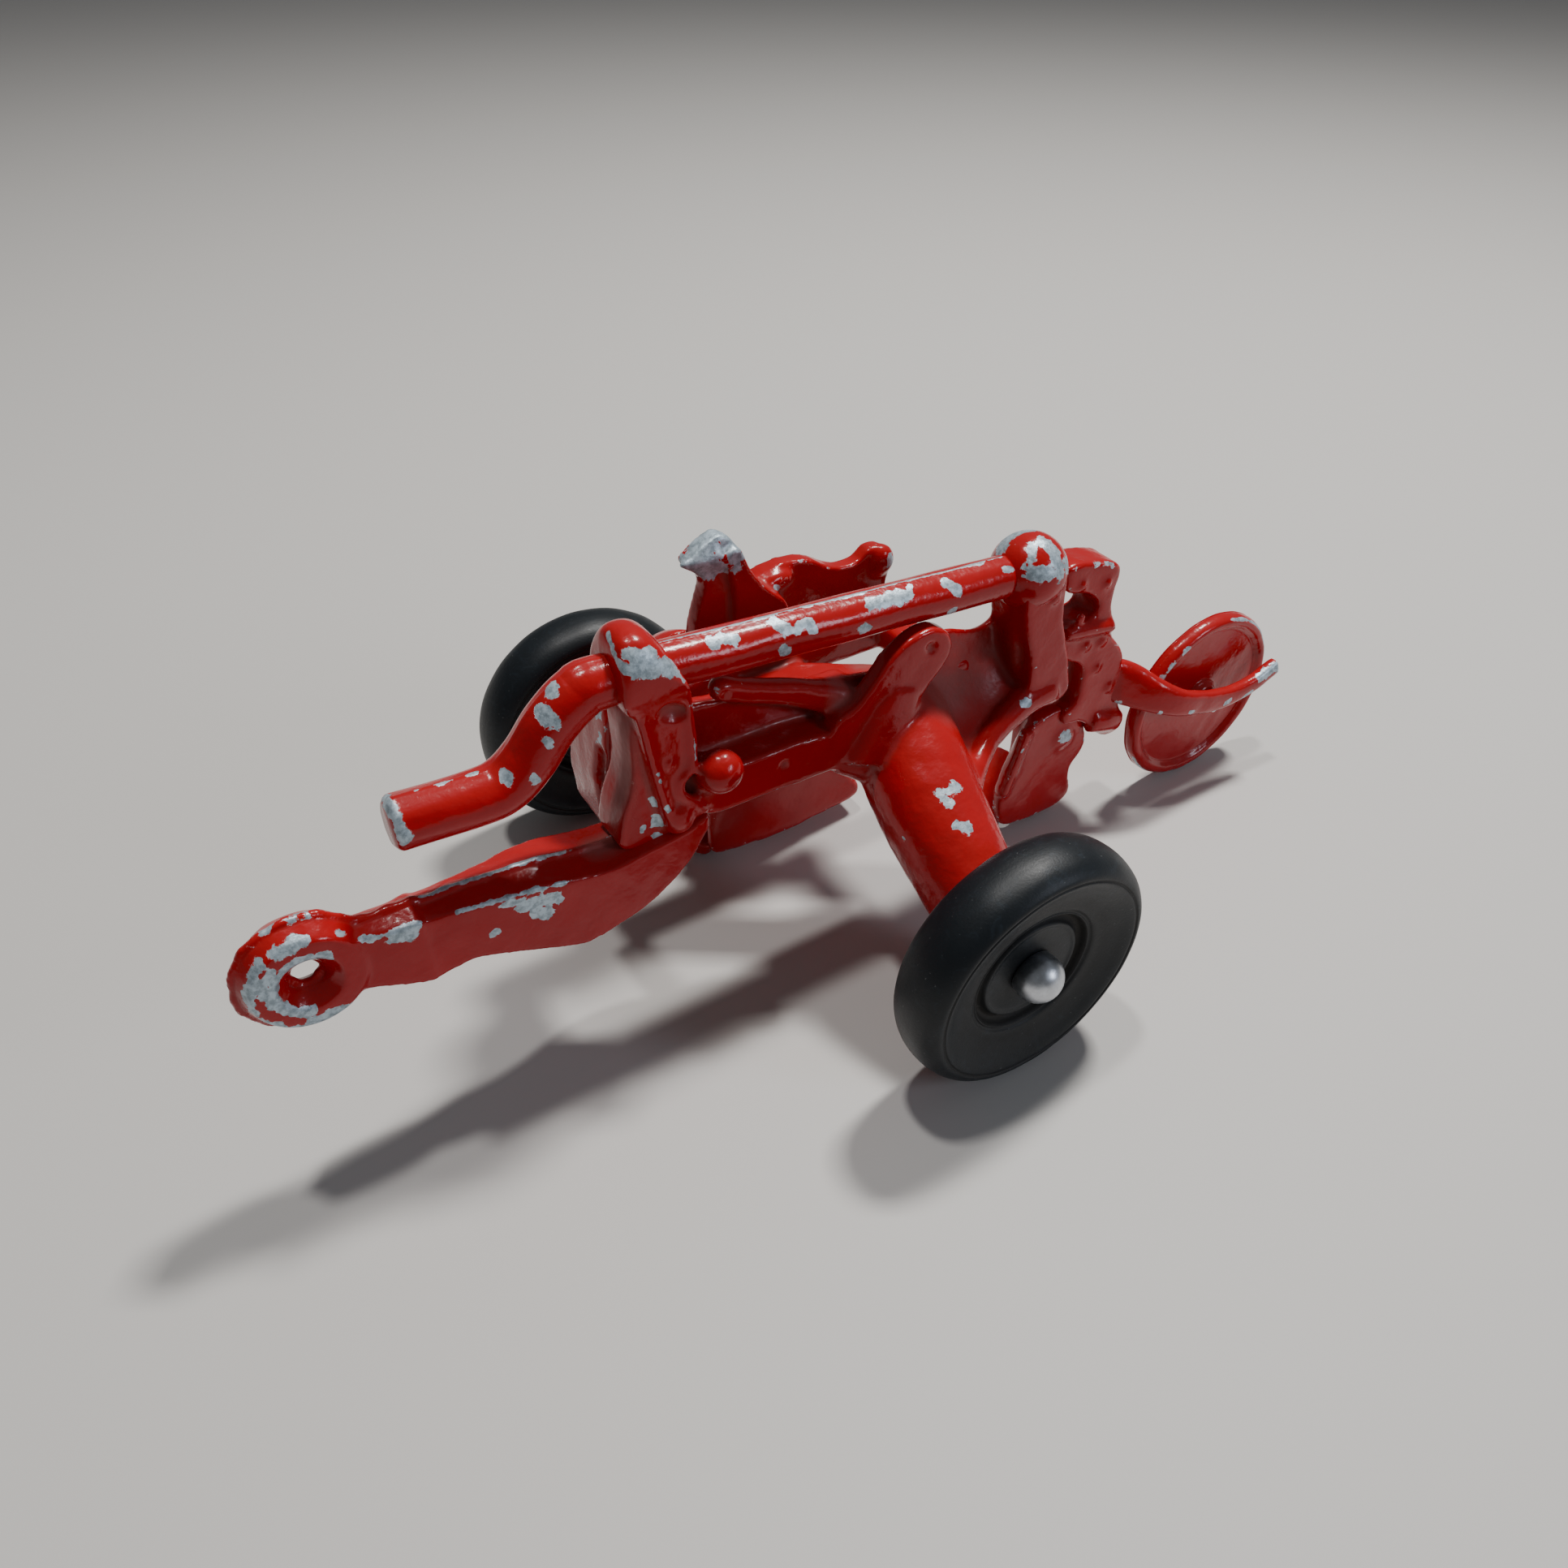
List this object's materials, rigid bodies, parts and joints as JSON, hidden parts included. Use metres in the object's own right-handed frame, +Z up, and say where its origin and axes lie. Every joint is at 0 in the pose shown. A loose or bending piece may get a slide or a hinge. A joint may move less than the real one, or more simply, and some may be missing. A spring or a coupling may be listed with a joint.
{
  "type": "toy trailed plough",
  "caption": "Vintage die-cast toy farm plough, red enamel, trailed, with rubber wheels, cast disc tail wheel, crank rod and hitch eye.",
  "frame": {"origin": "on the ground, under the middle of the whole toy's bounding box", "axes": "+X forward to the hitch eye, +Y to the land side (the plough's left), +Z up"},
  "size_m": [0.1472, 0.0776, 0.0541],
  "materials": {
    "red_enamel": "gloss, chipped",
    "black_rubber": "satin",
    "axle_pin_steel": "satin"
  },
  "bodies": {
    "frame": {"arched_rib": "red_enamel", "axle_hub": "red_enamel", "broken_lever": "red_enamel", "clevis_stud": "red_enamel", "diagonal_brace": "red_enamel", "drawbar": "red_enamel", "finger_lever": "red_enamel", "frame_web": "red_enamel", "front_bearing": "red_enamel", "front_cross_plate": "red_enamel", "front_landside": "red_enamel", "front_mouldboard": "red_enamel", "front_post": "red_enamel", "front_post_strap": "red_enamel", "front_share": "red_enamel", "front_standard": "red_enamel", "furrow_axle_arm": "red_enamel", "furrow_axle_pin": "axle_pin_steel", "furrow_beam": "red_enamel", "furrow_hub": "red_enamel", "furrow_lever_web": "red_enamel", "land_axle_arm": "red_enamel", "land_axle_pin": "axle_pin_steel", "land_beam": "red_enamel", "lift_lever": "red_enamel", "rear_axle_pin": "axle_pin_steel", "rear_brace": "red_enamel", "rear_landside": "red_enamel", "rear_mouldboard": "red_enamel", "rear_post": "red_enamel", "rear_share": "red_enamel", "rear_standard": "red_enamel", "rear_wheel_arm": "red_enamel"},
    "crank": {"crank_rod": "red_enamel", "crank_ball": "red_enamel"},
    "land_wheel": {"land_wheel": "black_rubber"},
    "furrow_wheel": {"furrow_wheel": "black_rubber"},
    "rear_wheel": {"rear_wheel": "red_enamel"}
  },
  "joints": [
    {"name": "land_wheel_spin", "type": "hinge", "parent": "frame", "child": "land_wheel", "pos_m": [-0.00155, 0.03385, 0.016], "axis": [0, 1, 0], "continuous": true},
    {"name": "furrow_wheel_spin", "type": "hinge", "parent": "frame", "child": "furrow_wheel", "pos_m": [0.01945, -0.03385, 0.016], "axis": [0, 1, 0], "continuous": true},
    {"name": "rear_wheel_spin", "type": "hinge", "parent": "frame", "child": "rear_wheel", "pos_m": [-0.06015, 0.00585, 0.0134], "axis": [0, 1, 0], "continuous": true},
    {"name": "crank_turn", "type": "hinge", "parent": "frame", "child": "crank", "pos_m": [-0.00155, 0.00485, 0.04661], "axis": [0.997, 0, 0.077], "continuous": true}
  ]
}
